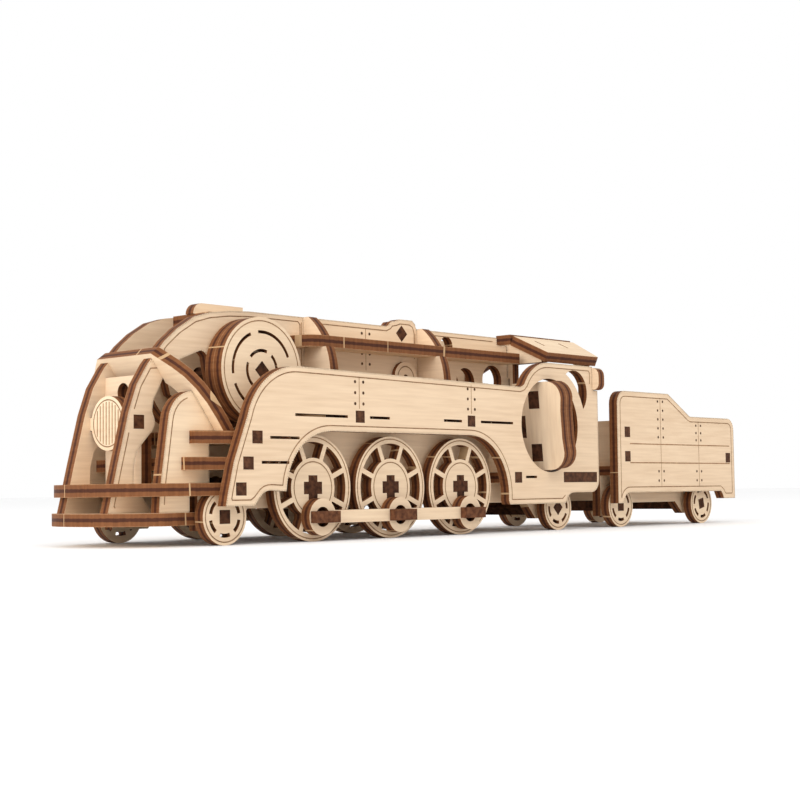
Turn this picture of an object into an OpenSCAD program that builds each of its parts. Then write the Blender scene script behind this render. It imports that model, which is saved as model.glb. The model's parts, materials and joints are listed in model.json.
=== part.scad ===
// Laser-cut plywood locomotive and tender, a press-together wooden 3D puzzle.
// The engine faces -X, +Z is up and the wheels stand on z = 0.
// Plates are drawn from the front driving axle (x) and the centre line (y);
// place() moves them so that the origin is under the middle of the whole box.

/* [Plywood] */
// Thickness of every plate
ply = 3; // [2.9:0.05:3.05]
// Side of the square axles and of the square tenons
peg = 3.2; // [3.1:0.05:3.25]
// Slack between a peg and its square hole, each side
slack = 0.05; // [0.03:0.01:0.1]
// Running clearance of an axle in its round hole
run = 0.07; // [0.04:0.01:0.1]

/* [Driving wheels] */
// Distance between driving axles
wheel_base = 28.5; // [28.3:0.1:28.8]
// Radius of a driving wheel
drive_r = 13.3; // [13.1:0.1:13.4]
// Distance of a crank pin from its axle
crank_r = 7.2; // [7:0.1:7.3]
// Outer radius of a side rod's eye
eye_r = 4.6; // [4.4:0.1:4.7]
// Spokes on a driving wheel
spokes = 8; // [8:1:8]
// Width of a spoke
spoke_w = 1.3; // [1.1:0.1:2]
// Inner face of the wheels, from the centre line
wheel_y = 19.3; // [19.2:0.1:19.4]

/* [Small wheels] */
// Radius of the leading, trailing and tender wheels
small_r = 6.7; // [6.6:0.1:6.8]
// Arc slots in a small wheel
small_slots = 6; // [5:1:7]

/* [Bodywork] */
// Inner face of the side skirts and tender sides
skirt_y = 22.9; // [22.8:0.05:23]
// Top edge of the boiler sides
boiler_top = 57.9; // [57.7:0.1:58]
// Radius of the drum discs beside the boiler
drum_r = 13.2; // [13:0.1:13.3]
// Radius of the round key opening in the cab side
key_hole_r = 13.8; // [13.8:0.1:14]
// Lean of the winding key, in degrees
key_lean = 5; // [0:1:10]

/* [Hidden] */
$fn = 96;
birch = [0.94, 0.83, 0.66];
light_birch = [0.96, 0.88, 0.73];
dark_birch = [0.55, 0.38, 0.26];

// middle of the box that the whole model fills
mid_x = 71.8;
mid_y = -2.1;

boiler_y = 7;      // inner face of the boiler sides
walk_y = 17;       // outer edge of the walkways
frame_y = 15;      // inner face of the frames
fender_y = 15;     // inner face of the fenders, in the same layer as the frames
lead_y = 18.6;     // inner face of the leading wheels, inside a bumper strip
rod_y = wheel_y + ply + 0.4;
pin_head_y = rod_y + ply + 0.1;

drive_xs = [0, wheel_base, 2 * wheel_base];
lead_x = -28.3;
trail_x = 102.1;
tender_xs = [135.4, 183.8];

deck_z = 29.8;     // underside of the main deck
floor_z = 14.2;    // underside of the cab floor
bumper_z = 11.7;
low_bumper_z = 4.9;
grille_z = [24, 17.8];
walk_z = 49.7;
tender_deck_z = 16.2;

drawbar_z = 10.9;

drum_at = [-12, 42.5];
key_at = [94.2, 31];
coupling_x = 124;

cross_w = 6.2;     // span of the plus-shaped driving axles
square_run_r = peg / sqrt(2) + run;
cross_run_r = norm([cross_w / 2, ply / 2]) + run;
pin_w = 3.9;       // section of a crank pin's neck
pin_h = 2.9;
eye_hole_r = norm([pin_w / 2, pin_h / 2]) + run;
coupling_r = 1.6;
tab = peg - 0.1;   // width of a plate's own tabs

// slanted hood arch: its upper back edge, and the directions down and out of its face
arch_top = [-39, 47.1];
arch_tilt = 36;
function on_arch(s) = arch_top + s * [sin(arch_tilt), -cos(arch_tilt)];
function in_front_of_arch(s) = on_arch(s) + ply * [-cos(arch_tilt), -sin(arch_tilt)];

// distance down the arch at which its front face meets the upper grille deck
arch_foot = (arch_top[1] - ply * sin(arch_tilt) - grille_z[0] - ply) / cos(arch_tilt);

// points of a circular arc about c, from angle a to angle b
function arc(c, r, a, b, n = 10) =
    [for (i = [0:n]) c + r * [cos(a + (b - a) * i / n), sin(a + (b - a) * i / n)]];

module place() {
    translate([-mid_x, -mid_y, 0]) children();
}

// an x-z outline made into a plate whose inner face is y from the centre line
module side_plate(y, side, thick = ply) {
    place() translate([0, side < 0 ? -y : y + thick, 0])
        rotate([90, 0, 0]) linear_extrude(thick) children();
}

// a y-z outline made into a plate whose front face is at x
module cross_plate(x, thick = ply) {
    place() translate([x, 0, 0]) rotate([90, 0, 90]) linear_extrude(thick) children();
}

// an x-y outline made into a level plate whose underside is at z
module level_plate(z, thick = ply) {
    place() translate([0, 0, z]) linear_extrude(thick) children();
}

// mirrors a shape left to right for one side
module flip_x(side) {
    if (side > 0) children();
    else mirror([1, 0]) children();
}

// mirrors a shape across the centre line for one side
module flip_y(side) {
    if (side > 0) children();
    else mirror([0, 1, 0]) children();
}

// a rectangle given by its edges
module box2(x0, x1, y0, y1) {
    translate([x0, y0]) square([x1 - x0, y1 - y0]);
}

module peg_hole(at, w = peg, h = peg, turn = 0) {
    translate(at) rotate(turn) square([w + 2 * slack, h + 2 * slack], center = true);
}

module ring2(outer, inner) {
    difference() {
        circle(outer);
        circle(inner);
    }
}

// count arc slots on radius r, each gap degrees short of touching the next
module arc_slots(r, width, count, gap, turn = 0) {
    for (i = [0:count - 1]) rotate(turn + i * 360 / count)
        intersection() {
            ring2(r + width / 2, r - width / 2);
            polygon(concat([[0, 0]], arc([0, 0], 2 * r, gap / 2, 360 / count - gap / 2, 6)));
        }
}

// ---------- side skirts ----------

tenons = [[-21.7, 25.5], [-24.6, 19.3], [-26.9, 13.2], [13.5, 31.3], [57.9, 31.3], [78.6, 15.7]];
rear_tab = [100.5, 117.5];
vents = [[-9.3, 9, 31.2], [17.1, 24.6, 31.2], [-17.6, -7.9, 25.5], [-20.4, -11.4, 19.5],
         [46.2, 53.8, 31.2], [62, 76.5, 31.2], [82.1, 87.3, 15.8]];

module skirt_outline() {
    polygon(concat(
        [[-31.7, 9.2]],
        [[-22.7, 9.2], [-21.4, 10.8]],
        arc([-17.8, 8.9], 3.9, 150, 90, 4),
        arc([3, 12], 15.4, 178, 90, 12),
        arc([57.5, 10.8], 16.6, 90, -6, 14),
        [[74.6, 8]],
        [[100.9, 8]],
        arc([105.3, 7], 4.1, 165, 90, 5),
        arc([114.6, 15.1], 4, -90, 0, 5),
        [[118.6, 42.2], [116, 42.2], [116, 49.5]],
        arc([93.5, 36.5], 13, 90, 152, 8),
        [[80.4, 41.8]],
        arc([-8.5, 26.2], 16.9, 90, 165, 12),
        [[-29.2, 19.5], [-31, 12.5]]));
}

module skirt_profile() {
    difference() {
        skirt_outline();
        for (at = tenons) peg_hole(at, peg, ply);
        box2(rear_tab[0] - slack, rear_tab[1] + slack, floor_z - slack, floor_z + ply + slack);
        for (v = vents) box2(v[0], v[1], v[2] - 0.35, v[2] + 0.35);
        translate(key_at) circle(key_hole_r);
        difference() {
            translate([106.4, 41.2]) circle(6.7);
            translate(key_at) circle(17.6);
        }
    }
}

module side_skirt_left() { color(birch) side_plate(skirt_y, -1) skirt_profile(); }
module side_skirt_right() { color(birch) side_plate(skirt_y, 1) skirt_profile(); }

// ---------- boiler and nose ----------

module boiler_outline() {
    polygon(concat(
        [[-53.4, low_bumper_z + ply], [-52.6, 11], [-51.8, 14.5], [-50.7, 19], [-49.2, 24.8],
         [-47.5, 31.4], [-45.1, 38], [-41.9, 43], [-38.8, 46.6], [-36.9, 48.7], [-33, 52],
         [-27.8, 55.2], [-23, 56.6], [-16.8, 57.5], [-9.7, boiler_top]],
        [[41.2, boiler_top], [42.6, 59.3]],
        arc([46.5, 57.6], 2.6, 125, 90, 3),
        [[51.4, 60.2], [52.7, 59.2], [53, boiler_top]],
        [[89.4, boiler_top], [89.4, 55.6], [94.2, 55.6], [94.2, 45.8], [106, 45.8],
         [106, floor_z + ply]],
        [[80, floor_z + ply], [78, deck_z + ply], [4, deck_z + ply]],
        [[-15, 34.2], [-21.5, 37.3], [-23.2, 43], [-23.7, 45.8], [-24.6, 46.8], [-25.8, 47.1],
         [-31.7, 44.8], [-35.6, 42.7], [-36.9, 41], [-38, 38.5]],
        [[-40.2, 34.5], [-40.6, 32]],
        arc([-43, 29.2], 3.2, 40, -55, 8),
        [[-44.9, 22.7], [-46, 18.8], [-46.1, 14.5], [-43.5, 11.5], [-40.5, low_bumper_z + ply]]));
}

// slot for the hood arch, down to half the depth of the joint
module arch_slot(from, to) {
    polygon([on_arch(from), on_arch(to), in_front_of_arch(to), in_front_of_arch(from)]);
}

bulkhead_xs = [9, 53.5];
bulkhead_mid = 45;  // height at which the bulkheads and the boiler sides meet
lamp_x = -46;
lamp_z = 29.2;

module boiler_profile() {
    difference() {
        boiler_outline();
        arch_slot(-1, 3);
        for (x = bulkhead_xs) box2(x, x + ply, bulkhead_mid, 70);
        translate(drum_at) circle(square_run_r);
        translate(key_at) circle(square_run_r);
        peg_hole([47, 56.2], turn = 45);
        peg_hole([lamp_x + ply / 2, lamp_z], ply, peg);
        translate([86.9, 44.9]) circle(4.5);
        translate([74.5, 43.9]) circle(4.1);
        translate([66.2, 54]) circle(2.7);
    }
}

module boiler_side_left() { color(birch) side_plate(boiler_y, -1) boiler_profile(); }
module boiler_side_right() { color(birch) side_plate(boiler_y, 1) boiler_profile(); }

// level plate between the boiler sides, under the keel
module boiler_top_plate() {
    color(birch) level_plate(54.3) box2(-20.5, bulkhead_xs[0], -boiler_y, boiler_y);
}

module boiler_keel() {
    color(light_birch) side_plate(-ply / 2, 1)
        polygon(concat(arc([-18.2, 57.3], 2.8, 180, 90, 6), [[-4.5, 60.1], [-4.5, 57.3]]));
}

// boiler formers: round plates that stand out past the flat boiler sides
module boiler_bulkhead(x) {
    cross_plate(x) difference() {
        intersection() {
            translate([0, 42]) circle(19.8);
            box2(-30, 30, deck_z + ply, boiler_top);
        }
        for (side = [-1, 1]) flip_x(side) {
            box2(boiler_y, boiler_y + ply, 0, bulkhead_mid);
            box2(13.5, 30, walk_z, walk_z + ply);
        }
    }
}

module boiler_bulkhead_front() { color(birch) boiler_bulkhead(bulkhead_xs[0]); }
module boiler_bulkhead_rear() { color(birch) boiler_bulkhead(bulkhead_xs[1]); }

module dome_shaft() {
    color(dark_birch) place() translate([47, 0, 56.2]) rotate([0, 45, 0])
        cube([peg, 2 * (boiler_y + ply), peg], center = true);
}

module boiler_side_caps() {
    proud = 1.2;   // the caps stand out less than a plate's thickness
    color(birch) for (side = [-1, 1]) side_plate(boiler_y + ply, side, proud)
        translate([47.2, 43.6]) ring2(4.6, 1.1);
}

module walkway(side) {
    level_plate(walk_z) flip_y(side) difference() {
        polygon(concat([[3.9, 10], [91.5, 10], [91.5, walk_y]], arc([9.3, 11.6], 5.4, 90, 180, 10)));
        for (x = bulkhead_xs) box2(x, x + ply, 9, 13.5);
        translate([8, 11.9]) circle(0.7);
    }
}

module walkway_left() { color(birch) walkway(-1); }
module walkway_right() { color(birch) walkway(1); }

// ---------- nose ----------

module headlamp() {
    color(light_birch) cross_plate(lamp_x) {
        translate([0, lamp_z]) circle(6.5);
        box2(-boiler_y - ply, boiler_y + ply, lamp_z - tab / 2, lamp_z + tab / 2);
    }
}

module nose_bulkhead() {
    color(birch) cross_plate(-41.5) difference() {
        box2(-boiler_y, boiler_y, bumper_z + ply, 40.6);
        translate([0, 36.8]) circle(2.2);
    }
}

module fender_profile() {
    polygon(concat(
        [[-45, low_bumper_z + ply], [-44.5, 14.5], [-43.5, 21.1]],
        arc([-34.6, 28.7], 7.7, 174, 93, 8),
        [in_front_of_arch(13.2), in_front_of_arch(arch_foot), [-30, grille_z[0] + ply]],
        [[-30, bumper_z + ply], [-36, bumper_z + ply], [-36, low_bumper_z + ply]]));
}

module front_fender_left() { color(light_birch) side_plate(fender_y, -1) fender_profile(); }
module front_fender_right() { color(light_birch) side_plate(fender_y, 1) fender_profile(); }

// the arch lies in a slanted plane: drawn flat with its top edge on y = 0, then stood up
module hood_arch() {
    color(light_birch) place() intersection() {
        translate([arch_top[0], 0, arch_top[1]]) rotate([0, -arch_tilt, 0])
            rotate([90, 0, 90]) translate([0, 0, -ply]) linear_extrude(ply) difference() {
                hood_outline();
                for (side = [-1, 1]) flip_x(side)
                    box2(boiler_y, boiler_y + ply, -20, -3);
            }
        translate([-60, -30, grille_z[0] + ply]) cube([60, 60, 40]);
    }
}

module hood_outline() {
    half = [[10.5, 0], [15.2, -4.2], [17.8, -7.1], [19.6, -10.6], [20.7, -14.7], [21, -19], [21, -30],
            [16, -30], [15.4, -18], [13.9, -13.1], [11.3, -9.4], [7.5, -6.1]];
    polygon(concat(half, [for (i = [len(half) - 1:-1:0]) [-half[i][0], half[i][1]]]));
}

module grille_decks() {
    color(birch) for (i = [0, 1]) level_plate(grille_z[i]) difference() {
        union() {
            front = [-36, -38.4][i];
            shoulder = [-27.5, -29][i];
            polygon([[front, -20], [front, 20], [shoulder, skirt_y], [-18, skirt_y],
                     [-18, -skirt_y], [shoulder, -skirt_y]]);
            box2(tenons[i][0] - tab / 2, tenons[i][0] + tab / 2,
                -skirt_y - ply, skirt_y + ply);
        }
        for (side = [-1, 1]) flip_y(side) box2(-50, -30, fender_y, fender_y + ply);
    }
}

// ---------- bumpers ----------

// everything forward of rear: a round front about (-32, 0), squared off at half_width
module bumper_outline(r, half_width, rear) {
    intersection() {
        union() {
            translate([-32, 0]) circle(r);
            box2(-32, 0, -half_width, half_width);
        }
        box2(-70, rear, -half_width, half_width);
    }
}

module upper_bumper() {
    color(birch) level_plate(bumper_z) difference() {
        union() {
            bumper_outline(24, skirt_y, -20);
            box2(tenons[2][0] - tab / 2, tenons[2][0] + tab / 2,
                -skirt_y - ply, skirt_y + ply);
        }
        for (side = [-1, 1]) flip_y(side) {
            box2(-52.6, -40, boiler_y, boiler_y + ply);
            box2(-45, -36, fender_y, fender_y + ply);
            box2(-33.6, -23, 18.3, 21.9);
        }
    }
}

module lower_bumper() {
    color(birch) level_plate(low_bumper_z) {
        bumper_outline(24.5, 20.5, -41.5);
        bumper_outline(24.5, 18.2, -33.6);
    }
}

// ---------- frames and decks ----------

module frame_profile() {
    difference() {
        polygon([[-33.6, 3.5], [-33.6, bumper_z], [-17.5, bumper_z], [-8, 24], [4, deck_z],
                 [75, deck_z], [75, floor_z], [108, floor_z], [108, 3.5], [96.5, 3.5],
                 [92, 8.5], [-18, 8.5], [-22.5, 3.5]]);
        for (x = drive_xs) translate([x, drive_r]) circle(cross_run_r);
        for (x = [lead_x, trail_x]) translate([x, small_r]) circle(square_run_r);
    }
}

module frame_left() { color(birch) side_plate(frame_y, -1) frame_profile(); }
module frame_right() { color(birch) side_plate(frame_y, 1) frame_profile(); }

module main_deck() {
    color(birch) level_plate(deck_z) {
        box2(4, 78, -skirt_y, skirt_y);
        for (i = [3, 4]) box2(tenons[i][0] - tab / 2, tenons[i][0] + tab / 2,
            -skirt_y - ply, skirt_y + ply);
    }
}

module cab_floor() {
    color(birch) level_plate(floor_z) difference() {
        union() {
            box2(75, 119, -skirt_y, skirt_y);
            box2(tenons[5][0] - tab / 2, tenons[5][0] + tab / 2,
                -skirt_y - ply, skirt_y + ply);
            box2(rear_tab[0], rear_tab[1], -skirt_y - ply, skirt_y + ply);
            box2(118, coupling_x, -4.5, 4.5);
            translate([coupling_x, 0]) circle(4.5);
        }
        translate([coupling_x, 0]) circle(coupling_r);
    }
}

// ---------- cab ----------

roof_flat = 11.5;            // half width of the flat middle of the roof
roof_top = 59.1;
roof_edge = [25.5, 52.7];    // upper outer edge of a sloping roof panel
roof_front = 94.2;
roof_rear = [124.9, 120];    // rear end of a panel at its inner and outer edge
roof_in = [roof_flat, roof_top]; // its upper inner edge
roof_fall = atan2(roof_in[1] - roof_edge[1], roof_edge[0] - roof_in[0]);
function under_roof(y) = roof_in[1] - ply / cos(roof_fall) - (y - roof_flat) * tan(roof_fall);

module cab_top_outline(low) {
    half = [[skirt_y, low], [skirt_y, under_roof(skirt_y)], [roof_flat, under_roof(roof_flat)],
            [roof_flat, roof_top - ply]];
    polygon(concat(half, [for (i = [3:-1:0]) [-half[i][0], half[i][1]]]));
}

module cab_front_bulkhead() {
    leg = [10.8, 11.9];   // a narrow leg stands beside each boiler side
    color(birch) cross_plate(94.5) difference() {
        union() {
            cab_top_outline(50);
            box2(-leg[1], leg[1], 45.8, 50.1);
            for (side = [-1, 1]) flip_x(side) box2(leg[0], leg[1], 40, 46);
        }
        box2(-boiler_y, boiler_y, 0, 50);
    }
}

module cab_rear_bulkhead() {
    rim = 1.8;   // depth of the hoop below the roof
    color(birch) cross_plate(116) difference() {
        union() {
            cab_top_outline(floor_z + ply);
            for (side = [-1, 1]) flip_x(side) polygon(concat([[21, 42.4]],
                arc([26.5, 44.2], 1.8, -90, 0, 4), arc([25.8, 46.7], 2.5, 0, 90, 4), [[21, 49.2]]));
        }
        polygon([[-20.6, 0], [20.6, 0], [20.6, under_roof(20.6) - rim],
                 [roof_flat, under_roof(roof_flat) - rim],
                 [-roof_flat, under_roof(roof_flat) - rim], [-20.6, under_roof(20.6) - rim]]);
    }
}

module cab_roof_center() {
    color(light_birch) level_plate(roof_top - ply) difference() {
        box2(roof_front, roof_rear[0], -roof_flat, roof_flat);
        box2(roof_front, 99, -6, 6);
    }
}

module cab_roof_panels() {
    panel = norm(roof_edge - roof_in);
    lap = ply * tan(roof_fall);  // keeps the panel's lower corner off the flat middle
    color(light_birch) place() for (side = [-1, 1]) flip_y(side)
        translate([roof_front, roof_in[0], roof_in[1]]) rotate([-roof_fall, 0, 0])
            translate([0, 0, -ply]) linear_extrude(ply) difference() {
                polygon([[0, lap], [roof_rear[0] - roof_front, lap],
                         [roof_rear[1] - roof_front, panel], [0, panel]]);
                for (x = [6.4, 18.4]) box2(x, x + 0.8, 4.5, 8.5);
            }
}

// ---------- driving wheels, axles, pins and rods ----------

module cross2(grow = 0) {
    square([cross_w + 2 * grow, ply + 2 * grow], center = true);
    square([ply + 2 * grow, cross_w + 2 * grow], center = true);
}

module drive_wheel_profile() {
    difference() {
        circle(drive_r);
        difference() {
            ring2(drive_r * 0.865, drive_r * 0.565);
            for (i = [0:spokes - 1]) rotate((i + 0.5) * 360 / spokes)
                translate([0, -spoke_w / 2]) square([drive_r, spoke_w]);
            translate([0, -crank_r]) circle(3.8);
        }
        cross2(slack);
        translate([0, -crank_r]) square([4, ply], center = true);
    }
}

module driving_wheels(x) {
    color(light_birch) for (side = [-1, 1]) side_plate(wheel_y, side)
        translate([x, drive_r]) drive_wheel_profile();
}

// two strips halved into each other make a plus-shaped axle
module driving_axle(x) {
    length = 2 * (wheel_y + ply);
    color(dark_birch) place() translate([x, 0, drive_r]) {
        difference() {
            cube([cross_w, length, ply], center = true);
            translate([-ply / 2, 0, -ply]) cube([ply, length, 2 * ply]);
        }
        difference() {
            cube([ply, length, cross_w], center = true);
            translate([-ply, -length, -ply / 2]) cube([2 * ply, length, ply]);
        }
    }
}

module crank_pins(x) {
    head = 8.4;
    color(dark_birch) place() for (side = [-1, 1]) flip_y(side)
        translate([x, 0, drive_r - crank_r]) {
            translate([-pin_w / 2, wheel_y, -pin_h / 2])
                cube([pin_w, pin_head_y - wheel_y, pin_h]);
            translate([-head / 2, pin_head_y, -pin_h / 2]) cube([head, 2, pin_h]);
        }
}

module driving_wheels_front() { driving_wheels(drive_xs[0]); }
module driving_wheels_middle() { driving_wheels(drive_xs[1]); }
module driving_wheels_rear() { driving_wheels(drive_xs[2]); }
module driving_axle_front() { driving_axle(drive_xs[0]); }
module driving_axle_middle() { driving_axle(drive_xs[1]); }
module driving_axle_rear() { driving_axle(drive_xs[2]); }
module crank_pins_front() { crank_pins(drive_xs[0]); }
module crank_pins_middle() { crank_pins(drive_xs[1]); }
module crank_pins_rear() { crank_pins(drive_xs[2]); }

module side_rod(side) {
    side_plate(rod_y, side) difference() {
        union() {
            for (x = drive_xs) translate([x, drive_r - crank_r]) circle(eye_r);
            box2(drive_xs[0], drive_xs[2], drive_r - crank_r - 1.6, drive_r - crank_r + 1.6);
        }
        for (x = drive_xs) translate([x, drive_r - crank_r]) circle(eye_hole_r);
    }
}

module side_rod_left() { color(light_birch) side_rod(-1); }
module side_rod_right() { color(light_birch) side_rod(1); }

// ---------- small wheels ----------

module small_wheels(x, y, turn) {
    color(light_birch) for (side = [-1, 1]) side_plate(y, side)
        translate([x, small_r]) difference() {
            circle(small_r);
            arc_slots(small_r * 0.66, 0.95, small_slots, 20, turn);
            peg_hole([0, 0], turn = turn);
        }
}

module small_axle(x, y, turn) {
    color(dark_birch) place() translate([x, 0, small_r]) rotate([0, -turn, 0])
        cube([peg, 2 * (y + ply), peg], center = true);
}

module leading_wheels() { small_wheels(lead_x, lead_y, 0); }
module leading_axle() { small_axle(lead_x, lead_y, 0); }
module trailing_wheels() { small_wheels(trail_x, wheel_y, 45); }
module trailing_axle() { small_axle(trail_x, wheel_y, 45); }
module tender_front_wheels() { small_wheels(tender_xs[0], wheel_y, 0); }
module tender_front_axle() { small_axle(tender_xs[0], wheel_y, 0); }
module tender_rear_wheels() { small_wheels(tender_xs[1], wheel_y, 12); }
module tender_rear_axle() { small_axle(tender_xs[1], wheel_y, 12); }

// ---------- drum beside the boiler ----------

module drum_axle() {
    color(dark_birch) place() translate([drum_at[0], 0, drum_at[1]]) rotate([0, 45, 0])
        cube([peg, 2 * walk_y, peg], center = true);
}

module drum_discs() {
    color(light_birch) for (side = [-1, 1]) for (y = [11, 14]) side_plate(y, side)
        translate(drum_at) difference() {
            circle(drum_r);
            if (y > 11) {
                arc_slots(drum_r * 0.72, 0.8, 4, 15, 15);
                arc_slots(drum_r * 0.37, 0.8, 4, 20, 60);
            }
            peg_hole([0, 0], turn = 45);
        }
}

// ---------- winding key ----------

key_in = 15;       // inner end of the grip, from the centre line
key_out = 32.5;    // outer end of the grip
key_half = 13;     // half height of the grip
key_bar_z = 7.8;
key_head = 6.6;    // height of the shaft's T-shaped end

module key_frame() {
    place() translate([key_at[0], 0, key_at[1]]) rotate([0, -key_lean, 0]) children();
}

module key_grip_outline() {
    polygon(concat(
        [[-key_in, -key_half], [-key_in, key_half]],
        arc([5 - key_out, key_half - 5], 5, 90, 180, 6),
        [[0.4 - key_out, 4], [0.4 - key_out, -4]],
        arc([5 - key_out, 5 - key_half], 5, 180, 270, 6)));
}

module key_plates() {
    color(light_birch) key_frame() for (x = [-ply, 0]) translate([x, 0, 0])
        rotate([90, 0, 90]) linear_extrude(ply) difference() {
            key_grip_outline();
            for (z = [-key_bar_z, key_bar_z]) translate([-22.7, z]) square([3.9, 5.2], center = true);
            box2(-19.2, -16.2, -key_head / 2, key_head / 2);
        }
}

module key_bars() {
    color(dark_birch) key_frame() for (z = [-key_bar_z, key_bar_z])
        translate([0, -22.7, z]) cube([2 * ply, 3.8, 5.1], center = true);
}

module key_shaft() {
    color(dark_birch) key_frame() {
        translate([-peg / 2, -19.2, -peg / 2]) cube([peg, 29.5, peg]);
        translate([-ply, -19.2, -key_head / 2]) cube([2 * ply, 3, key_head]);
    }
}

// ---------- tender ----------

tender_tenons = [[134.6, 29.9], [134.6, 22.2], [196, 22.2]];

module tender_profile() {
    difference() {
        polygon(concat(
            [[128.9, 7.5], [132, 7.5]],
            arc([135.2, 7.6], 3.2, 150, 90, 4),
            [[191.2, 10.8], [192.8, 8.3], [200.1, 8.3]],
            arc([196.3, 31.9], 3.8, 0, 90, 6),
            [[171.8, 35.7], [158.6, 42.8]],
            arc([133.2, 38.7], 4.1, 90, 180, 6)));
        for (at = tender_tenons) peg_hole(at, ply, peg);
    }
}

module tender_side_left() { color(birch) side_plate(skirt_y, -1) tender_profile(); }
module tender_side_right() { color(birch) side_plate(skirt_y, 1) tender_profile(); }

module tender_end(x, top, tabs) {
    cross_plate(x) {
        box2(-skirt_y, skirt_y, tender_deck_z + ply, top);
        for (z = tabs) box2(-skirt_y - ply, skirt_y + ply, z - tab / 2, z + tab / 2);
    }
}

module tender_front_plate() {
    color(birch) tender_end(tender_tenons[0][0] - ply / 2, 33.6,
        [tender_tenons[0][1], tender_tenons[1][1]]);
}

module tender_rear_plate() {
    color(birch) tender_end(tender_tenons[2][0] - ply / 2, 33.4, [tender_tenons[2][1]]);
}

module tender_deck() {
    color(birch) level_plate(tender_deck_z) box2(131, 199, -skirt_y, skirt_y);
}

module drawbar() {
    color(birch) level_plate(drawbar_z) difference() {
        union() {
            box2(coupling_x, 133, -5, 5);
            translate([coupling_x, 0]) circle(4);
            box2(130.4, 140, -frame_y, frame_y);
        }
        translate([coupling_x, 0]) circle(coupling_r + run);
    }
}

module tender_frames() {
    color(birch) for (side = [-1, 1]) side_plate(frame_y, side) difference() {
        polygon([[130.4, 3.5], [130.4, tender_deck_z], [189, tender_deck_z], [189, 3.5],
                 [178.6, 3.5], [174, 7.5], [145, 7.5], [140.4, 3.5]]);
        for (x = tender_xs) translate([x, small_r]) circle(square_run_r);
    }
}

module coupling_pin() {
    color(dark_birch) place() translate([coupling_x, 0, drawbar_z - 0.5])
        cylinder(h = 7.6, r = coupling_r);
}

side_skirt_left();
side_skirt_right();
boiler_side_left();
boiler_side_right();
front_fender_left();
front_fender_right();
hood_arch();
nose_bulkhead();
headlamp();
upper_bumper();
lower_bumper();
grille_decks();
walkway_left();
walkway_right();
boiler_bulkhead_front();
boiler_bulkhead_rear();
boiler_top_plate();
boiler_keel();
boiler_side_caps();
dome_shaft();
cab_front_bulkhead();
cab_rear_bulkhead();
cab_roof_center();
cab_roof_panels();
frame_left();
frame_right();
main_deck();
cab_floor();
driving_wheels_front();
driving_wheels_middle();
driving_wheels_rear();
driving_axle_front();
driving_axle_middle();
driving_axle_rear();
crank_pins_front();
crank_pins_middle();
crank_pins_rear();
side_rod_left();
side_rod_right();
leading_wheels();
leading_axle();
trailing_wheels();
trailing_axle();
tender_front_wheels();
tender_front_axle();
tender_rear_wheels();
tender_rear_axle();
drum_axle();
drum_discs();
key_plates();
key_bars();
key_shaft();
tender_side_left();
tender_side_right();
tender_front_plate();
tender_rear_plate();
tender_deck();
drawbar();
tender_frames();
coupling_pin();
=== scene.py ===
"""Looks for the laser-cut plywood locomotive: plywood faces, burnt edges, engraved lines.

Distances in the tables are millimetres from the front driving axle (x), the centre line (y)
and the floor (z), as in part.scad; at() turns them into metres in the frame of the part.
"""
import json
import math

import bpy
import numpy as np
from mathutils import Matrix, Vector


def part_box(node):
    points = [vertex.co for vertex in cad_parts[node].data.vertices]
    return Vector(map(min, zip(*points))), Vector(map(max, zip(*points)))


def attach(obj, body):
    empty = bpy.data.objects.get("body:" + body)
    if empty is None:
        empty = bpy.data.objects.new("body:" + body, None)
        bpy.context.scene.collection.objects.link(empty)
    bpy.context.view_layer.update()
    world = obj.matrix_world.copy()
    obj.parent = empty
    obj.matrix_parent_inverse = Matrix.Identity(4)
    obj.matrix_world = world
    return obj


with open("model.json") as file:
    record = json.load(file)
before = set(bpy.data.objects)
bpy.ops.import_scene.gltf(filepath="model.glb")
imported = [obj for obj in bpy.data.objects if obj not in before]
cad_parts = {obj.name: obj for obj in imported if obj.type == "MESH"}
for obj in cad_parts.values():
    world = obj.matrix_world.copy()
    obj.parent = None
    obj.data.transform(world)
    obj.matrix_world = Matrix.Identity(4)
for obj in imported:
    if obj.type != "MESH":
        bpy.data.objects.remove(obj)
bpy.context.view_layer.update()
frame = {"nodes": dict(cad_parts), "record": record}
NODES = frame["nodes"]
MM = 0.001

# ---------------------------------------------------------------- places, from the frame


def middle(node, axis):
    low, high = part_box(node)
    return (low[axis] + high[axis]) / 2


ORIGIN = Vector((middle("driving_axle_front", 0), middle("driving_axle_front", 1), 0))
PLY = 3 * MM
ENGRAVING_LIFT = 0.03 * MM      # engraved lines lie this far proud of a face
LINE = 0.28 * MM                # width of an engraved line
COLUMN_LINE = 0.2 * MM          # the line down the middle of a column of rivets
SEAM_LINE = 0.24 * MM
RULE_LINE = 0.34 * MM           # ruled lines and the headlamp's grooves
HIGHLIGHT_WIDTH = 0.3 * MM                  # width of the painted highlight, a pale line along a cut edge
RIVET_RADIUS = 0.42 * MM
RIVET_GAP = 1.5                 # from a rivet to the middle line of its column, in mm


def at(x, y, z):
    return ORIGIN + Vector((x, y, z)) * MM


# ---------------------------------------------------------------- materials

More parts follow.
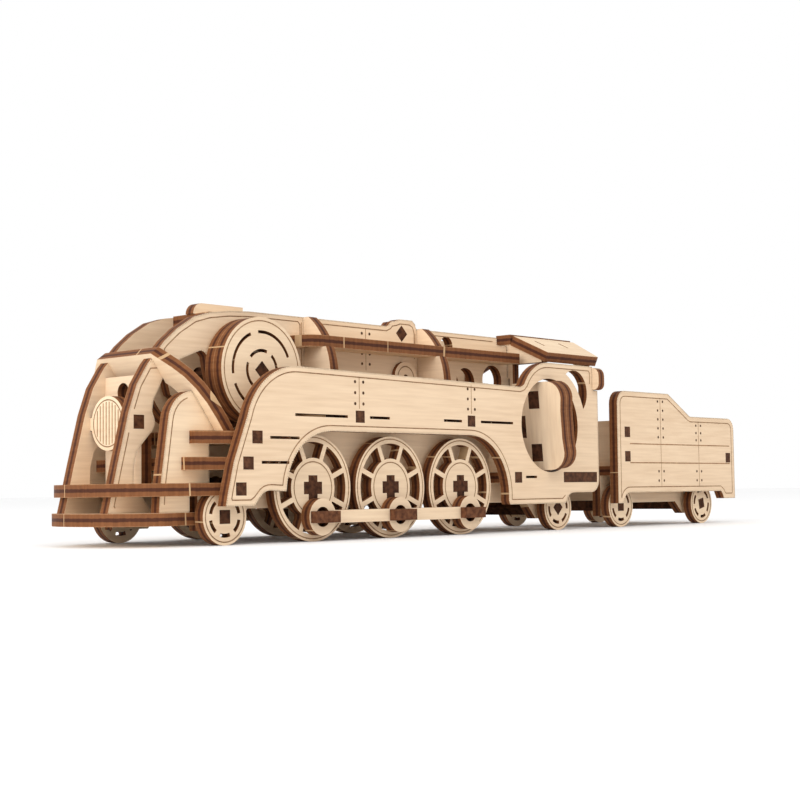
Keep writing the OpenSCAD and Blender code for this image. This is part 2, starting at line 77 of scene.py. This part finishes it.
FACE_TINTS = {
    "birch_ply": ((0.655, 0.475, 0.315), (0.765, 0.58, 0.40)),
    "light_birch": ((0.68, 0.50, 0.335), (0.79, 0.61, 0.42)),
}
BURNT_SKIN = (0.32, 0.155, 0.068)       # the outermost veneers of a cut edge
BURNT_VENEER = (0.185, 0.070, 0.026)
BURNT_CORE = (0.068, 0.022, 0.011)
NIB = (0.50, 0.32, 0.17)
NIB_WIDTH = 0.004
TENON_END = (0.040, 0.015, 0.007)
TENON_END_PALE = (0.115, 0.045, 0.020)
EDGE_FACING = 0.9                       # a surface that looks less than this along is an edge
PLY_ROUGHNESS, BURNT_ROUGHNESS = 0.62, 0.8
SPECULAR = 0.12
GRAIN_ACROSS, GRAIN_ALONG = 9.0, 0.55   # how fast the grain changes across and along it
GRAIN_BUMP, GRAIN_DEPTH = 0.12, 0.05 * MM
SCORCH_ALONG = 0.96                     # how far scorch marks are drawn out through the sheet

# ---------------------------------------------------------------- how the plates lie

# plates whose tabs come through other plates, and how far from the centre line the ends lie
TABBED = {"cab_floor": 25.8, "grille_decks": 25.8, "headlamp": 9.9, "main_deck": 25.8,
          "tender_front_plate": 25.8, "tender_rear_plate": 25.8, "upper_bumper": 25.8}
# which way the faces of each plate look; the plates in none of these look along Y
ALONG_X = ["boiler_bulkhead_front", "boiler_bulkhead_rear", "cab_front_bulkhead",
           "cab_rear_bulkhead", "headlamp", "nose_bulkhead", "tender_front_plate",
           "tender_rear_plate"]
ALONG_Z = ["boiler_top_plate", "cab_floor", "cab_roof_center", "drawbar", "grille_decks",
           "lower_bumper", "main_deck", "tender_deck", "upper_bumper", "walkway_left",
           "walkway_right"]
TILTED = ["hood_arch", "cab_roof_panels", "key_plates"]
ROOF_INNER = (11.5, 59.1)               # y and z of a sloping roof panel's upper edges
ROOF_OUTER = (25.5, 52.7)
ROOF_FALL = math.atan2(ROOF_INNER[1] - ROOF_OUTER[1], ROOF_OUTER[0] - ROOF_INNER[0])
ARCH_TILT = math.radians(36)
ARCH_BACK = at(-39, 0, 47.1)            # a point on the hood arch's rear face
KEY_LEAN = math.radians(5)
KEY_AT = at(94.2, 0, 31)
MANY_SHEETS = 20 * PLY                  # keeps a depth from turning negative

SLOT_OF = {s["node"]: s["material_slot"] for s in frame["record"]["subparts"]}
BARS = [n for n, s in SLOT_OF.items() if s == "burnt_birch"]

# ---------------------------------------------------------------- shaders


class Shader:
    """A small helper that adds and links shader nodes."""

    def __init__(self, name):
        self.material = bpy.data.materials.new(name)
        self.material.use_nodes = True
        self.tree = self.material.node_tree
        self.bsdf = self.tree.nodes["Principled BSDF"]

    def add(self, kind, **settings):
        node = self.tree.nodes.new(kind)
        for key, value in settings.items():
            setattr(node, key, value)
        return node

    def plug(self, source, target):
        self.tree.links.new(source, target)

    def value(self, operation, a, b=None, c=None):
        node = self.add("ShaderNodeMath", operation=operation)
        for i, item in enumerate((a, b, c)):
            if item is None:
                continue
            if isinstance(item, (int, float)):
                node.inputs[i].default_value = item
            else:
                self.plug(item, node.inputs[i])
        return node.outputs[0]

    def dot(self, vector, direction):
        node = self.add("ShaderNodeVectorMath", operation="DOT_PRODUCT")
        self.plug(vector, node.inputs[0])
        node.inputs[1].default_value = direction
        return node.outputs["Value"]

    def ramp(self, factor, stops):
        node = self.add("ShaderNodeValToRGB")
        elements = node.color_ramp.elements
        while len(elements) < len(stops):
            elements.new(0.5)
        for element, (position, colour) in zip(elements, stops):
            element.position = position
            element.color = (*colour, 1)
        self.plug(factor, node.inputs[0])
        return node.outputs["Color"]

    def noise(self, vector, stretch, scale, detail=4.0):
        mapping = self.add("ShaderNodeMapping")
        mapping.inputs["Scale"].default_value = stretch
        self.plug(vector, mapping.inputs["Vector"])
        texture = self.add("ShaderNodeTexNoise")
        texture.inputs["Scale"].default_value = scale
        texture.inputs["Detail"].default_value = detail
        self.plug(mapping.outputs[0], texture.inputs["Vector"])
        return texture.outputs["Fac"]

    def mix(self, factor, a, b):
        node = self.add("ShaderNodeMix", data_type="RGBA")
        self.plug(factor, node.inputs["Factor"])
        self.plug(a, node.inputs["A"])
        self.plug(b, node.inputs["B"])
        return node.outputs["Result"]

    def striped(self, colour, place, direction):
        """Fine scorch marks that the beam leaves straight through the sheet."""
        along = [1.0 - SCORCH_ALONG * abs(c) for c in direction]
        strength = self.value("MULTIPLY_ADD", self.noise(place, along, 1500, 2), 0.7, 0.65)
        node = self.add("ShaderNodeVectorMath", operation="SCALE")
        self.plug(colour, node.inputs[0])
        self.plug(strength, node.inputs["Scale"])
        # now and then a pale nib is left where the beam paused
        wander = self.noise(place, along, 45, 0)
        off_centre = self.value("ABSOLUTE", self.value("SUBTRACT", wander, 0.5))
        is_nib = self.value("LESS_THAN", off_centre, NIB_WIDTH)
        nib = self.ramp(is_nib, [(0.0, NIB), (1.0, NIB)])
        return self.mix(is_nib, node.outputs["Vector"], nib)

    def folded(self, vector, centre):
        """The vector with its y turned into a distance from the middle."""
        split = self.add("ShaderNodeSeparateXYZ")
        self.plug(vector, split.inputs[0])
        join = self.add("ShaderNodeCombineXYZ")
        from_centre = self.value("SUBTRACT", split.outputs["Y"], centre)
        self.plug(split.outputs["X"], join.inputs["X"])
        self.plug(self.value("ABSOLUTE", from_centre), join.inputs["Y"])
        self.plug(split.outputs["Z"], join.inputs["Z"])
        return join.outputs[0]

    def tenon_ends(self, colour, place, mottle, reach):
        """The ends of the tabs that come through the outer plates are evenly dark."""
        across = self.value("SUBTRACT", self.dot(place, (0, 1, 0)), ORIGIN.y)
        is_end = self.value("GREATER_THAN", self.value("ABSOLUTE", across), reach)
        dark = self.ramp(mottle, [(0.3, TENON_END), (0.7, TENON_END_PALE)])
        return self.mix(is_end, colour, dark)


def plywood(node, tint, direction, start, grain_axis, first_face=0, mirrored=False):
    """Birch faces square to direction; every other surface is a burnt edge with a dark core.

    The distance from start along direction, less first_face and folded every sheet, says
    where in the thickness of the sheet a point of the edge lies. A mirrored pair of leaning
    plates is folded about the centre line first, so that one direction serves both.
    """
    shader = Shader("ply_" + node)
    coords = shader.add("ShaderNodeTexCoord")
    place, normal = coords.outputs["Object"], coords.outputs["Normal"]
    sheet_place, sheet_normal = place, normal
    if mirrored:
        sheet_place = shader.folded(place, ORIGIN.y)
        sheet_normal = shader.folded(normal, 0)

    depth = shader.value("SUBTRACT", shader.dot(sheet_place, direction), start)
    depth = shader.value("SUBTRACT", shader.value("ABSOLUTE", depth), first_face)
    depth = shader.value("FRACT", shader.value("DIVIDE", depth, PLY))
    scorch = shader.noise(place, (1, 1, 1), 900, 3)
    depth = shader.value("ADD", depth, shader.value("MULTIPLY_ADD", scorch, 0.12, -0.06))
    edge = shader.ramp(depth, [
        (0.0, BURNT_SKIN), (0.07, BURNT_VENEER), (0.34, BURNT_VENEER),
        (0.40, BURNT_CORE), (0.62, BURNT_CORE), (0.68, BURNT_VENEER),
        (0.93, BURNT_VENEER), (1.0, BURNT_SKIN)])
    edge = shader.striped(edge, place, direction)
    if node in TABBED:
        edge = shader.tenon_ends(edge, place, scorch, TABBED[node] * MM)

    stretch = [GRAIN_ACROSS] * 3
    stretch[grain_axis] = GRAIN_ALONG
    fine = shader.noise(place, stretch, 130, 6)
    broad = shader.noise(place, [s * 0.35 for s in stretch], 40, 3)
    grain = shader.value("ADD", shader.value("MULTIPLY", fine, 0.6),
                         shader.value("MULTIPLY", broad, 0.4))
    dark, pale = FACE_TINTS[tint]
    face = shader.ramp(grain, [(0.33, dark), (0.62, pale)])

    facing = shader.value("ABSOLUTE", shader.dot(sheet_normal, direction))
    is_edge = shader.value("LESS_THAN", facing, EDGE_FACING)
    shader.plug(shader.mix(is_edge, face, edge), shader.bsdf.inputs["Base Color"])
    shader.bsdf.inputs["Roughness"].default_value = PLY_ROUGHNESS
    shader.bsdf.inputs["Specular IOR Level"].default_value = SPECULAR
    bump = shader.add("ShaderNodeBump")
    bump.inputs["Strength"].default_value = GRAIN_BUMP
    bump.inputs["Distance"].default_value = GRAIN_DEPTH
    shader.plug(grain, bump.inputs["Height"])
    shader.plug(bump.outputs["Normal"], shader.bsdf.inputs["Normal"])
    return shader.material


def scorched(name, dark, pale):
    """One mottled tone for burnt wood, engraving and the painted edge highlight."""
    shader = Shader(name)
    place = shader.add("ShaderNodeTexCoord").outputs["Object"]
    mottle = shader.noise(place, (1, 1, 1), 700, 4)
    colour = shader.ramp(mottle, [(0.35, dark), (0.65, pale)])
    shader.plug(colour, shader.bsdf.inputs["Base Color"])
    shader.bsdf.inputs["Roughness"].default_value = BURNT_ROUGHNESS
    shader.bsdf.inputs["Specular IOR Level"].default_value = SPECULAR
    return shader.material


BURNT = scorched("burnt_wood", (0.032, 0.012, 0.006), (0.095, 0.037, 0.017))
RED_BURNT = scorched("burnt_pin", (0.070, 0.025, 0.012), (0.165, 0.066, 0.030))
ENGRAVED = scorched("engraved_line", (0.24, 0.125, 0.06), (0.38, 0.22, 0.115))
DOT = scorched("engraved_dot", (0.05, 0.024, 0.014), (0.11, 0.055, 0.03))
# painted highlight: the pale line along the side plates' cut edges stands in for light caught by
# the edge
PAINTED_EDGE_HIGHLIGHT = scorched("painted_edge_highlight", (0.80, 0.60, 0.40), (0.88, 0.69, 0.49))


def dress(node, material):
    slots = NODES[node].material_slots
    if not slots:
        NODES[node].data.materials.append(material)
    for slot in slots:
        slot.link = "OBJECT"
        slot.material = material


def leaning(angle):
    """The way a plate's face looks when it leans back by angle."""
    return Vector((math.cos(angle), 0, math.sin(angle)))


def dress_plates():
    """Each plate gets plywood laid square to its own faces."""
    for node in NODES:
        tint = SLOT_OF[node]
        low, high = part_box(node)
        if node in BARS:
            dress(node, RED_BURNT if node.startswith("crank_pins") else BURNT)
        elif node in ALONG_X:
            dress(node, plywood(node, tint, (1, 0, 0), low[0], 1))
        elif node in ALONG_Z:
            dress(node, plywood(node, tint, (0, 0, 1), low[2], 0))
        elif node not in TILTED:
            # plates along Y, alone or in mirrored pairs: count from the outermost face
            outer = high[1] if high[1] > ORIGIN.y else low[1]
            first_face = abs(outer - ORIGIN.y) - MANY_SHEETS
            dress(node, plywood(node, tint, (0, 1, 0), ORIGIN.y, 0, first_face))
    for node, angle, place, grain_axis in (("key_plates", KEY_LEAN, KEY_AT, 2),
                                           ("hood_arch", ARCH_TILT, ARCH_BACK, 1)):
        looks = leaning(angle)
        dress(node, plywood(node, "light_birch", looks, looks.dot(place), grain_axis))
    looks = Vector((0, math.sin(ROOF_FALL), math.cos(ROOF_FALL)))
    top = Vector((0, ROOF_INNER[0], ROOF_INNER[1])) * MM
    dress("cab_roof_panels", plywood("cab_roof_panels", "light_birch", looks, looks.dot(top), 0,
                                     mirrored=True))


# ---------------------------------------------------------------- engraved lines


class Marks:
    """Flat marks on one face, gathered into one mesh that rides on a body."""

    def __init__(self, to_space):
        self.to_space = to_space
        self.verts, self.faces = [], []

    def _polygon(self, points):
        start = len(self.verts)
        self.verts += [self.to_space(*p) for p in points]
        self.faces.append(list(range(start, start + len(points))))

    def line(self, points, closed=False, width=LINE):
        pts = [np.array(p, float) for p in points]
        pairs = list(zip(pts, pts[1:] + pts[:1])) if closed else list(zip(pts, pts[1:]))
        for a, b in pairs:
            along = b - a
            length = np.linalg.norm(along)
            if length < 1e-9:
                continue
            along /= length
            across = np.array([-along[1], along[0]]) * width / 2
            over = along * width * 0.3
            self._polygon([a - over - across, b + over - across, b + over + across,
                           a - over + across])

    def circle(self, centre, radius, count=64):
        c = np.array(centre, float)
        turn = [2 * math.pi * i / count for i in range(count)]
        self.line([c + radius * np.array([math.cos(t), math.sin(t)]) for t in turn], True)

    def dot(self, centre, radius=RIVET_RADIUS, count=14):
        turn = [2 * math.pi * i / count for i in range(count)]
        self._polygon([(centre[0] + radius * math.cos(t), centre[1] + radius * math.sin(t))
                       for t in turn])

    def build(self, name, body, material):
        if not self.faces:
            return
        mesh = bpy.data.meshes.new(name)
        mesh.from_pydata([tuple(v) for v in self.verts], [], self.faces)
        mesh.materials.append(material)
        piece = bpy.data.objects.new(name, mesh)
        bpy.context.collection.objects.link(piece)
        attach(piece, body)


def on_side(node, side):
    """Marks on a plate's outer face, drawn in x and z; side is -1 for left, 1 for right."""
    low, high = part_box(node)
    y = (low[1] if side < 0 else high[1]) + side * ENGRAVING_LIFT
    return lambda u, v: (u, y, v)


def outline_loops(node, side):
    """Closed outlines, longest first, of a plate's outer face."""
    mesh = NODES[node].data
    low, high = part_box(node)
    face_y = low[1] if side < 0 else high[1]

    def key(index):
        co = mesh.vertices[index].co
        return round(co.x * 1e6), round(co.z * 1e6)

    count = {}
    for polygon in mesh.polygons:
        if polygon.normal.y * side < 0.99 or abs(polygon.center.y - face_y) > 1e-5:
            continue
        corners = [key(i) for i in polygon.vertices]
        for a, b in zip(corners, corners[1:] + corners[:1]):
            if (b, a) in count:
                del count[(b, a)]
            else:
                count[(a, b)] = True
    follow = {a: b for a, b in sorted(count)}
    loops = []
    while follow:
        first = min(follow)
        loop, here = [], first
        while here in follow:
            loop.append(here)
            here = follow.pop(here)
        loops.append([np.array(p, float) / 1e6 for p in loop])
    loops.sort(key=lambda l: -sum(np.linalg.norm(b - a) for a, b in zip(l, l[1:] + l[:1])))
    return loops


def signed_area(loop):
    return sum(a[0] * b[1] - b[0] * a[1] for a, b in zip(loop, loop[1:] + loop[:1])) / 2


def resampled(loop, step):
    points = []
    for a, b in zip(loop, loop[1:] + loop[:1]):
        parts = max(1, int(np.linalg.norm(b - a) / step))
        points += [a + (b - a) * i / parts for i in range(parts)]
    return points


def distance_to(loop, points):
    """Shortest distance from each point to a closed outline."""
    a = np.array(loop)
    b = np.roll(a, -1, axis=0)
    ab = b - a
    length = np.maximum((ab ** 2).sum(1), 1e-18)
    best = []
    for p in points:
        t = np.clip(((p - a) * ab).sum(1) / length, 0, 1)
        best.append(np.sqrt(((a + ab * t[:, None] - p) ** 2).sum(1)).min())
    return np.array(best)


def inset(loop, amount, step=0.8 * MM):
    """The outline moved into the wood; parts that would double back are dropped."""
    turn = 1 if signed_area(loop) > 0 else -1
    points = resampled(loop, step)
    moved = []
    for a, b in zip(points, points[1:] + points[:1]):
        along = (b - a) / max(np.linalg.norm(b - a), 1e-12)
        moved.append((a + b) / 2 + turn * amount * np.array([-along[1], along[0]]))
    keep = distance_to(loop, moved) > amount * 0.985
    return [p for p, k in zip(moved, keep) if k]


def stretches(points, wanted, gap=3 * MM):
    """The parts of a closed line of points where wanted(x, z), in millimetres, holds."""
    parts, part = [], []
    for p in points + points[:1]:
        inside = wanted((p[0] - ORIGIN.x) / MM, p[1] / MM)
        if part and (not inside or np.linalg.norm(p - part[-1]) > gap):
            parts.append(part)
            part = []
        if inside:
            part.append(p)
    return [p for p in parts + [part] if len(p) > 2]


def skirt_line(x, z):
    return x < 101 or z > 44


def fender_line(x, z):
    return z > 9.5 and (x < -38.2 or z > 31) and x < -36


def boiler_line(x, z):
    """The front and top edges, broken where the headlamp's tab comes through."""
    if abs(z - 29.2) < 2.3 or x > 87.8:
        return False
    below_lamp = z < 31 and x < -48.3 + 0.3 * (z - 19)
    above_lamp = z >= 31 and x < -44.7 + 0.6 * (z - 31)
    return below_lamp or above_lamp or z > 49 or (x < -36 and z > 43.3)


def whole_line(x, z):
    return True


def flat(x, z):
    """A place on a side face from millimetres."""
    spot = at(x, 0, z)
    return spot.x, spot.z


def rivet_column(lines, dots, x, rows, low, high):
    lines.line([flat(x, low), flat(x, high)], width=COLUMN_LINE)
    for z in rows:
        for side in (-1, 1):
            dots.dot(flat(x + side * RIVET_GAP, z))


def side_marks(node, body, side, edge_inset, wanted, columns, rules=(), seams=()):
    lines, dots, painted_highlight = (Marks(on_side(node, side)) for _ in range(3))
    outer = outline_loops(node, side)[0]
    for part in stretches(inset(outer, edge_inset), wanted):
        lines.line(part)
    # painted highlight: a pale line just inside the outer face's cut edge
    painted_highlight.line(inset(outer, HIGHLIGHT_WIDTH / 2, 0.5 * MM), True, HIGHLIGHT_WIDTH)
    for column in columns:
        rivet_column(lines, dots, *column)
    for x0, x1, z in rules:
        lines.line([flat(x0, z), flat(x1, z)], width=RULE_LINE)
    for x, z0, z1 in seams:
        lines.line([flat(x, z0), flat(x, z1)], width=SEAM_LINE)
    lines.build("engraving_" + node, body, ENGRAVED)
    dots.build("rivets_" + node, body, DOT)
    painted_highlight.build("rim_" + node, body, PAINTED_EDGE_HIGHLIGHT)


# columns of rivets: x, the rivets' z, and the z where the middle line starts and ends
SKIRT_COLUMNS = [(x, (40.2, 37.4, 34.6), 33.4, 41.4) for x in (13.2, 57.9)]
BOILER_COLUMNS = [(32.4, (55.2, 52.4, 49.7, 46.9), 45.2, 56.5)]
TENDER_COLUMNS = [(153.8, (40.1, 37.2, 34.3, 31.4, 28.5, 17.5, 14.5), 12.4, 41.3),
                  (177, (32.8, 30.3, 27.9, 17.5, 14.5), 12.4, 34.2)]
TENDER_RULES = [(136, 197, z) for z in (26.2, 20.2)]       # x, x and z of level lines
BOILER_SEAMS = [(8.2, 45.2, 56.4), (52.6, 53.2, 56.4)]     # x, z and z of upright lines


def mark_sides():
    for side, name in ((-1, "left"), (1, "right")):
        side_marks("side_skirt_" + name, "locomotive", side, 1.4 * MM, skirt_line, SKIRT_COLUMNS)
        side_marks("boiler_side_" + name, "locomotive", side, 1.3 * MM, boiler_line,
                   BOILER_COLUMNS, seams=BOILER_SEAMS)
        side_marks("front_fender_" + name, "locomotive", side, 1.4 * MM, fender_line, [])
        side_marks("tender_side_" + name, "tender", side, 1.7 * MM, whole_line,
                   TENDER_COLUMNS, TENDER_RULES)


def mark_wheels():
    driving = [(f"driving_wheels_{which}", f"driving_{which}")
               for which in ("front", "middle", "rear")]
    small = [("leading_wheels", "leading_wheelset"), ("trailing_wheels", "trailing_wheelset"),
             ("tender_front_wheels", "tender_front_wheelset"),
             ("tender_rear_wheels", "tender_rear_wheelset")]
    # the engraved rings' radii, as shares of the piece's own
    ringed = [((0.49, 0.95), driving), ((0.89,), small), ((0.93,), [("drum_discs", "drum")]),
              ((0.72,), [("boiler_side_caps", "locomotive")])]
    for rings, group in ringed:
        for node, body in group:
            low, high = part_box(node)
            radius = (high[2] - low[2]) / 2
            centre = (middle(node, 0), middle(node, 2))
            for side, word in ((-1, "left"), (1, "right")):
                lines = Marks(on_side(node, side))
                for ring in rings:
                    lines.circle(centre, radius * ring)
                lines.build(f"engraving_{node}_{word}", body, ENGRAVED)


LAMP_RING = 0.86                # radius of the headlamp's ring, as a share of the lamp's
LAMP_GROOVES = 8
GROOVED_WIDTH, GROOVE_REACH = 0.72, 0.78


def mark_headlamp():
    low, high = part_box("headlamp")
    radius = (high[2] - low[2]) / 2
    cy, cz = middle("headlamp", 1), middle("headlamp", 2)
    front = low[0] - ENGRAVING_LIFT
    lines = Marks(lambda u, v: (front, u, v))
    lines.circle((cy, cz), radius * LAMP_RING)
    for i in range(LAMP_GROOVES):
        y = radius * GROOVED_WIDTH * (2 * (i + 0.5) / LAMP_GROOVES - 1)
        half = math.sqrt((radius * GROOVE_REACH) ** 2 - y ** 2)
        lines.line([(cy + y, cz - half), (cy + y, cz + half)], width=RULE_LINE)
    lines.build("engraving_headlamp", "locomotive", ENGRAVED)


# ---------------------------------------------------------------- stage, lights, camera


def add_floor():
    bpy.ops.mesh.primitive_plane_add(size=12, location=(0, 0, 0))
    floor = bpy.context.object
    floor.name = "floor"
    shader = Shader("floor_white")
    shader.bsdf.inputs["Base Color"].default_value = (0.95, 0.95, 0.95, 1)
    shader.bsdf.inputs["Roughness"].default_value = 0.9
    floor.data.materials.append(shader.material)


def add_light(name, place, size, power, target=(0, 0, 0.03)):
    data = bpy.data.lights.new(name, "AREA")
    data.size = size
    data.energy = power
    light = bpy.data.objects.new(name, data)
    light.location = place
    light.rotation_euler = (Vector(target) - Vector(place)).to_track_quat("-Z", "Y").to_euler()
    bpy.context.collection.objects.link(light)


def add_lights():
    world = bpy.data.worlds.new("studio")
    world.use_nodes = True
    world.node_tree.nodes["Background"].inputs["Color"].default_value = (1, 1, 1, 1)
    world.node_tree.nodes["Background"].inputs["Strength"].default_value = 1.0
    bpy.context.scene.world = world
    add_light("key_light", (-0.35, -0.75, 0.75), 0.5, 1.8)
    add_light("nose_light", (-0.95, -0.15, 0.35), 0.6, 4.6)
    bpy.context.scene.view_settings.view_transform = "Standard"


CAMERA_AT = (-258.9, -289.0, 12.4)      # fitted to the photo, like the angles and the lens
YAW, PITCH, ROLL = 0.8297, 0.0608, -0.013
LENS = 66.8
SENSOR = 36


def add_camera():
    data = bpy.data.cameras.new("camera")
    data.sensor_width = SENSOR
    data.lens = LENS
    data.clip_start = 0.01
    camera = bpy.data.objects.new("camera", data)
    level = math.cos(PITCH)
    ahead = Vector((math.sin(YAW) * level, math.cos(YAW) * level, math.sin(PITCH)))
    right = Vector((math.cos(YAW), -math.sin(YAW), 0))
    up = right.cross(ahead)
    side = right * math.cos(ROLL) + up * math.sin(ROLL)
    top = up * math.cos(ROLL) - right * math.sin(ROLL)
    turn = Matrix((side, top, -ahead)).transposed().to_4x4()
    camera.matrix_world = Matrix.Translation(at(*CAMERA_AT)) @ turn
    bpy.context.collection.objects.link(camera)
    bpy.context.scene.camera = camera


dress_plates()
mark_sides()
mark_wheels()
mark_headlamp()
add_floor()
add_lights()
add_camera()
